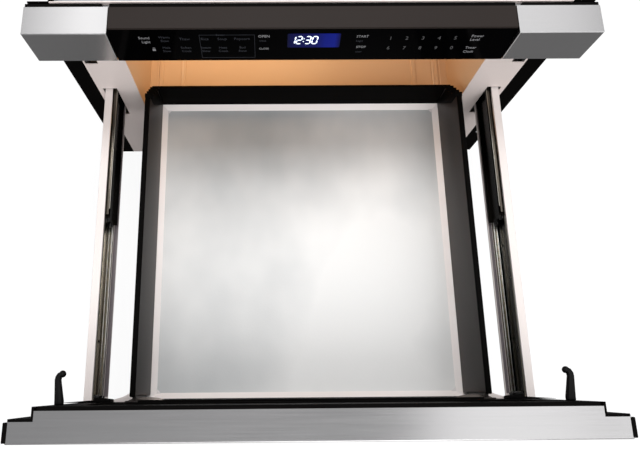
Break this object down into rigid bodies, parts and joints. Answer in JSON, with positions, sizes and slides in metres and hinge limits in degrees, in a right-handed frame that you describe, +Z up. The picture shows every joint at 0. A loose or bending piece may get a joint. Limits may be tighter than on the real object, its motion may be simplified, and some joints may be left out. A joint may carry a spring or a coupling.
{
  "type": "microwave drawer",
  "caption": "Built-in microwave oven drawer: stainless front on full-extension runners, low-walled bowl with ceramic floor, sheet-metal chassis and tilted glass touch panel.",
  "frame": {"origin": "middle of the base plate's underside, which rests on the cabinet deck", "axes": "+X to the right seen from the front, +Y to the back of the cabinet, +Z up; the drawer is open at rest"},
  "size_m": [0.606, 1.0125, 0.403],
  "materials": {
    "chassis_white": "satin powder coat",
    "galvanised": "galvanised sheet",
    "flange_black": "black powder coat",
    "cavity_enamel": "satin enamel",
    "stainless": "brushed",
    "housing_brown": "matte",
    "touch_glass": "gloss black",
    "display_blue": "gloss",
    "circuit_green": "matte",
    "gasket": "matte",
    "bowl_dark": "matte",
    "choke_black": "satin",
    "tray_white": "satin",
    "ceramic": "frosted",
    "bracket_white": "satin",
    "runner_zinc": "zinc plated",
    "stop_black": "matte",
    "trim_black": "satin",
    "hook_black": "satin",
    "switch_body": "matte",
    "gear_nylon": "matte",
    "gearbox_black": "matte",
    "motor_steel": "satin",
    "mica": "matte",
    "duct_aluminium": "satin",
    "fan_black": "matte",
    "core_iron": "varnished",
    "winding_copper": "enamelled",
    "capacitor_can": "satin",
    "lamp_glass": "clear",
    "inlet_black": "satin"
  },
  "bodies": {
    "cabinet": {"base_plate": "galvanised", "outer_wrapper": "galvanised", "rear_panel": "galvanised", "face_frame": "chassis_white", "side_flange_left": "flange_black", "side_flange_right": "flange_black", "cavity_shell": "cavity_enamel", "cavity_floor": "cavity_enamel", "antenna_cover": "mica", "antenna_well": "galvanised", "waveguide": "duct_aluminium", "antenna_motor": "motor_steel", "magnetron": "duct_aluminium", "transformer_core": "core_iron", "transformer_winding": "winding_copper", "hv_capacitor": "capacitor_can", "fan_housing": "fan_black", "cavity_lamp": "galvanised", "lamp_bulb": "lamp_glass", "power_board": "circuit_green", "power_inlet": "inlet_black", "control_housing": "housing_brown", "touch_glass": "touch_glass", "end_cap_left": "stainless", "end_cap_right": "stainless", "display_module": "display_blue", "control_board": "circuit_green", "panel_gasket": "gasket", "panel_bracket": "galvanised", "rail_supports": "galvanised", "fixed_rail_left": "runner_zinc", "fixed_rail_right": "runner_zinc", "drive_motor": "motor_steel", "drive_gearbox": "gearbox_black", "latch_switches": "switch_body"},
    "drawer": {"front_skin": "stainless", "side_trims": "trim_black", "door_pan": "stainless", "choke_cover": "choke_black", "bowl_side_left": "bowl_dark", "bowl_side_right": "bowl_dark", "bowl_rear": "choke_black", "bowl_front": "choke_black", "floor_tray": "tray_white", "ceramic_plate": "ceramic", "drawer_bracket_left": "bracket_white", "drawer_bracket_right": "bracket_white", "drawer_rail_left": "runner_zinc", "drawer_rail_right": "runner_zinc", "latch_hook_left": "hook_black", "latch_hook_right": "hook_black", "drive_rack": "gear_nylon"},
    "middle_left": {"middle_rail_left": "runner_zinc", "rail_stop_left": "stop_black"},
    "middle_right": {"middle_rail_right": "runner_zinc", "rail_stop_right": "stop_black"},
    "pinion": {"drive_pinion": "gear_nylon"},
    "fan": {"fan_wheel": "fan_black"},
    "antenna_rotor": {"antenna": "duct_aluminium"}
  },
  "joints": [
    {"name": "drawer_slide", "type": "slide", "parent": "cabinet", "child": "drawer", "axis": [0, 1, 0], "range_m": [0, 0.405]},
    {"name": "middle_left_slide", "type": "slide", "parent": "cabinet", "child": "middle_left", "axis": [0, 1, 0], "range_m": [0, 0.203]},
    {"name": "middle_right_slide", "type": "slide", "parent": "cabinet", "child": "middle_right", "axis": [0, 1, 0], "range_m": [0, 0.203]},
    {"name": "pinion_spin", "type": "hinge", "parent": "cabinet", "child": "pinion", "pos_m": [0.2631, -0.236, 0.122], "axis": [1, 0, 0], "range_deg": [-1165, 5]},
    {"name": "fan_spin", "type": "hinge", "parent": "cabinet", "child": "fan", "pos_m": [-0.17, 0.251, 0.135], "axis": [0, 1, 0], "continuous": true},
    {"name": "antenna_spin", "type": "hinge", "parent": "cabinet", "child": "antenna_rotor", "pos_m": [0, -0.061, 0.1128], "axis": [0, 0, 1], "continuous": true}
  ],
  "couplings": [
    {"joint": "middle_left_slide", "follows": "drawer_slide", "ratio": 0.5},
    {"joint": "middle_right_slide", "follows": "drawer_slide", "ratio": 0.5},
    {"joint": "pinion_spin", "follows": "drawer_slide", "rad_per_m": -50}
  ]
}
